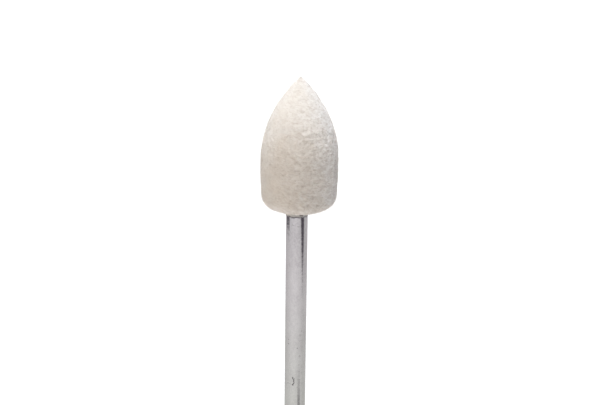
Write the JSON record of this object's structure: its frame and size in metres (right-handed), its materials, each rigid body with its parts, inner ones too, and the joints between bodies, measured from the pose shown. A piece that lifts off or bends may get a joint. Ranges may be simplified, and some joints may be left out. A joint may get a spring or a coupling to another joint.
{
  "type": "felt polishing bob",
  "caption": "Pointed bullet-shaped hard wool felt bob glued on a straight steel mandrel, for polishing with a rotary tool.",
  "frame": {"origin": "centre of the mandrel's flat collet end", "axes": "+Z along the mandrel, from its collet end to the felt's point; X and Y are free, because the part is round"},
  "size_m": [0.011, 0.011, 0.0571],
  "materials": {
    "wool_felt": "dense pressed wool, matted fibres, matte",
    "steel": "centreless ground and polished",
    "cured_adhesive": "cured off-white adhesive, semi gloss, grimy at its edge"
  },
  "bodies": {
    "root": {"felt_bob": "wool_felt", "mandrel": "steel", "adhesive": "cured_adhesive"}
  },
  "joints": []
}
